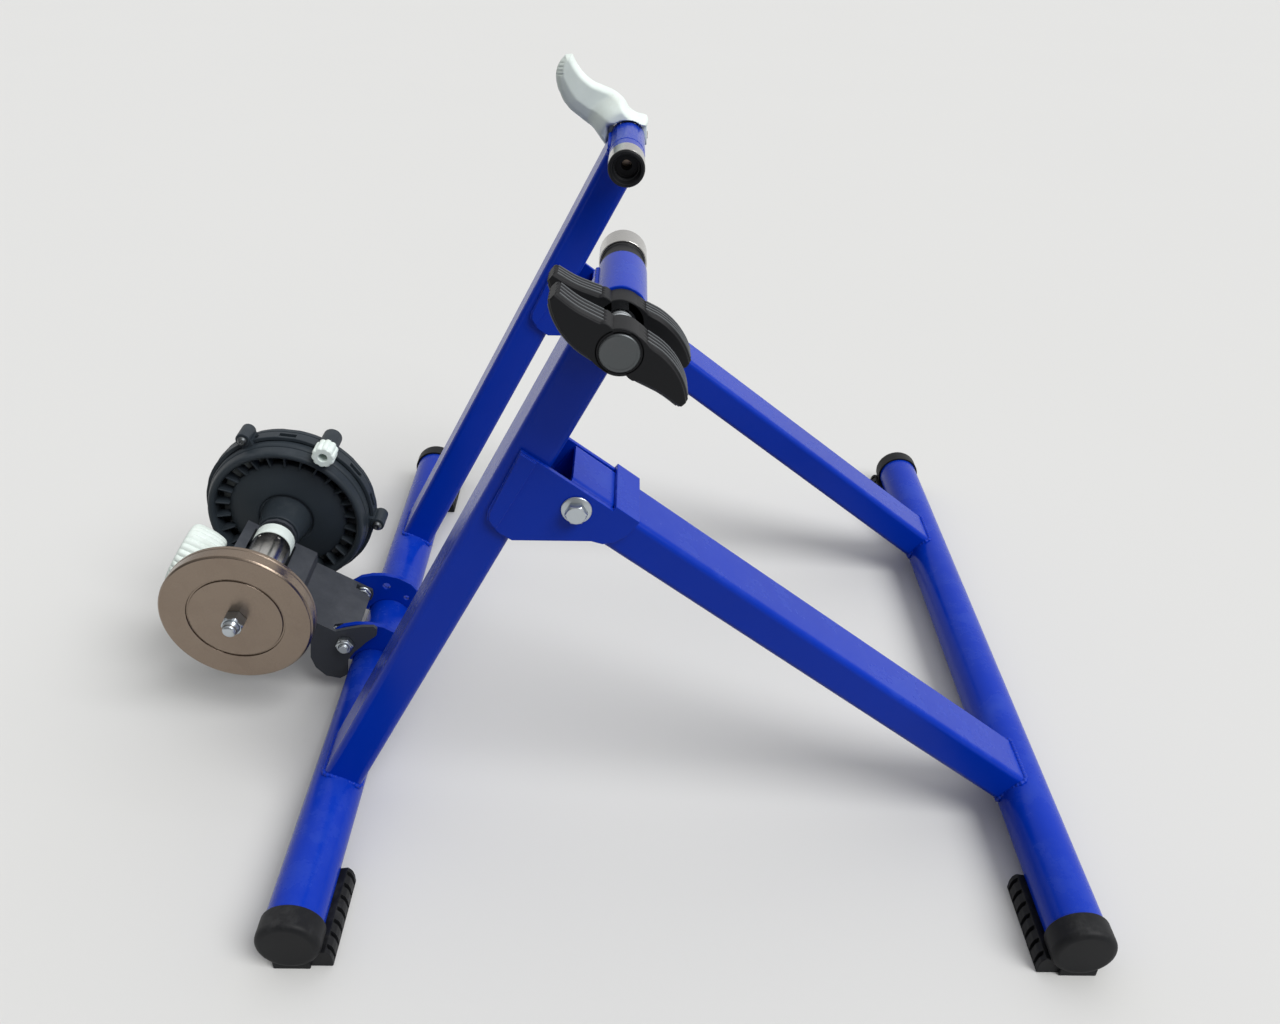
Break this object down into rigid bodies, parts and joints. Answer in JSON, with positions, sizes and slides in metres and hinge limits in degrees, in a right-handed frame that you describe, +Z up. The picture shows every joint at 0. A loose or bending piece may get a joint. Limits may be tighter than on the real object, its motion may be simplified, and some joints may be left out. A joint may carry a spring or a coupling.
{
  "type": "wheel-on bicycle turbo trainer",
  "caption": "Folding bicycle trainer that clamps the rear axle and presses the tyre on a roller with a flywheel and a magnetic brake.",
  "frame": {"origin": "on the ground under the middle of the whole trainer, at the centre of the bounding box's bottom", "axes": "+X from the roller towards the front base tube, +Y along the base tubes, the axle and the roller, +Z up"},
  "size_m": [0.6918, 0.607, 0.4638],
  "materials": {
    "frame_blue": "glossy blue powder coat with light scuffs",
    "black_plastic": "satin black moulded plastic",
    "brake_plastic": "satin blue-black moulded plastic",
    "white_plastic": "satin off-white moulded plastic",
    "zinc": "zinc-plated steel",
    "turned_steel": "turned bare steel",
    "polished_steel": "polished plated steel",
    "dark_steel": "dull dark steel",
    "grey_paint": "dark grey textured powder coat"
  },
  "bodies": {
    "rear_frame": {"rear_tube": "frame_blue", "near_post": "frame_blue", "far_post": "frame_blue", "near_leg_bracket": "frame_blue", "far_leg_bracket": "frame_blue", "near_sleeve": "frame_blue", "far_sleeve": "frame_blue", "near_ear": "frame_blue", "far_ear": "frame_blue", "ear_screw": "zinc", "rear_near_cap": "black_plastic", "rear_far_cap": "black_plastic", "near_leg_bush": "turned_steel", "far_leg_bush": "turned_steel", "near_pivot_bolt": "zinc", "near_pivot_nut": "zinc", "far_pivot_bolt": "zinc", "far_pivot_nut": "zinc", "cradle_near_bolt": "zinc", "cradle_near_nut": "zinc", "cradle_far_bolt": "zinc", "cradle_far_nut": "zinc", "cam_pin": "turned_steel", "return_spring": "turned_steel"},
    "front_legs": {"front_tube": "frame_blue", "near_leg": "frame_blue", "far_leg": "frame_blue", "front_near_cap": "black_plastic", "front_far_cap": "black_plastic"},
    "near_cup": {"near_cup_collar": "black_plastic", "near_cup_ring": "polished_steel"},
    "clamp_screw": {"clamp_screw": "polished_steel", "adjuster_lever": "black_plastic", "adjuster_disc": "dark_steel"},
    "lock_lever": {"lock_lever": "black_plastic"},
    "cam_lever": {"cam_lever": "white_plastic"},
    "far_plunger": {"far_cup": "black_plastic", "far_cup_ring": "polished_steel", "plunger_collar": "frame_blue", "plunger_rod": "turned_steel"},
    "cradle": {"cradle": "grey_paint", "near_bearing": "turned_steel", "far_bearing": "turned_steel", "brake_front_shell": "brake_plastic", "brake_back_shell": "brake_plastic", "housing_screw_1": "dark_steel", "housing_screw_2": "dark_steel", "housing_screw_3": "dark_steel"},
    "roller": {"roller": "polished_steel", "roller_ring": "white_plastic", "roller_shaft": "turned_steel", "flywheel": "turned_steel", "flywheel_nut": "zinc", "flywheel_spacer": "turned_steel", "brake_rotor": "dark_steel"},
    "magnet_carrier": {"magnet_carrier": "black_plastic"},
    "cable_adjuster": {"cable_adjuster": "white_plastic"},
    "swivel_block": {"swivel_block": "zinc"},
    "tension_screw": {"tension_screw": "zinc"},
    "tension_knob": {"tension_knob": "white_plastic"}
  },
  "joints": [
    {"name": "fold", "type": "hinge", "parent": "rear_frame", "child": "front_legs", "pos_m": [0.0013, 0, 0.27298], "axis": [0, 1, 0], "range_deg": [0, 80]},
    {"name": "near_cup_feed", "type": "slide", "parent": "rear_frame", "child": "near_cup", "axis": [0, 1, 0], "range_m": [0, 0.0075]},
    {"name": "clamp_screw_turn", "type": "hinge", "parent": "near_cup", "child": "clamp_screw", "pos_m": [0.02734, -0.1835, 0.4026], "axis": [0, 1, 0], "range_deg": [0, 1080]},
    {"name": "lock_turn", "type": "hinge", "parent": "rear_frame", "child": "lock_lever", "pos_m": [0.02734, -0.1945, 0.4026], "axis": [0, 1, 0], "range_deg": [-120, 0]},
    {"name": "cam_turn", "type": "hinge", "parent": "rear_frame", "child": "cam_lever", "pos_m": [0.02734, 0.1885, 0.4026], "axis": [-1, 0, 0], "range_deg": [0, 175]},
    {"name": "plunger_slide", "type": "slide", "parent": "rear_frame", "child": "far_plunger", "axis": [0, -1, 0], "range_m": [0, 0.0069], "deforming": ["return_spring"]},
    {"name": "cradle_tilt", "type": "hinge", "parent": "rear_frame", "child": "cradle", "pos_m": [-0.19813, -0.0055, 0.051], "axis": [0, 1, 0], "range_deg": [0, 31]},
    {"name": "roller_spin", "type": "hinge", "parent": "cradle", "child": "roller", "pos_m": [-0.26315, -0.0055, 0.10991], "axis": [0, 1, 0], "continuous": true},
    {"name": "magnet_turn", "type": "hinge", "parent": "cradle", "child": "magnet_carrier", "pos_m": [-0.26315, 0.0765, 0.10991], "axis": [0, 1, 0], "range_deg": [0, 30]},
    {"name": "cable_adjuster_turn", "type": "hinge", "parent": "cradle", "child": "cable_adjuster", "pos_m": [-0.22049, 0.0545, 0.17485], "axis": [0, 1, 0], "range_deg": [0, 720]},
    {"name": "swivel_turn", "type": "hinge", "parent": "cradle", "child": "swivel_block", "pos_m": [-0.26043, -0.0055, 0.07103], "axis": [0, 1, 0], "range_deg": [-11, 0]},
    {"name": "tension_slide", "type": "slide", "parent": "swivel_block", "child": "tension_screw", "axis": [0.8563, 0, -0.5165], "range_m": [0, 0.00496]},
    {"name": "knob_turn", "type": "hinge", "parent": "tension_screw", "child": "tension_knob", "pos_m": [-0.26043, -0.0055, 0.07103], "axis": [0.8563, 0, -0.5165], "range_deg": [0, 900]}
  ],
  "couplings": [
    {"joint": "near_cup_feed", "follows": "clamp_screw_turn", "m_per_rad": 0.00039789},
    {"joint": "plunger_slide", "follows": "cam_turn", "m_per_rad": 0.0022282},
    {"joint": "swivel_turn", "follows": "cradle_tilt", "ratio": -0.33938},
    {"joint": "tension_slide", "follows": "cradle_tilt", "m_per_rad": 0.0091519},
    {"joint": "knob_turn", "follows": "cradle_tilt", "ratio": 28.752}
  ]
}
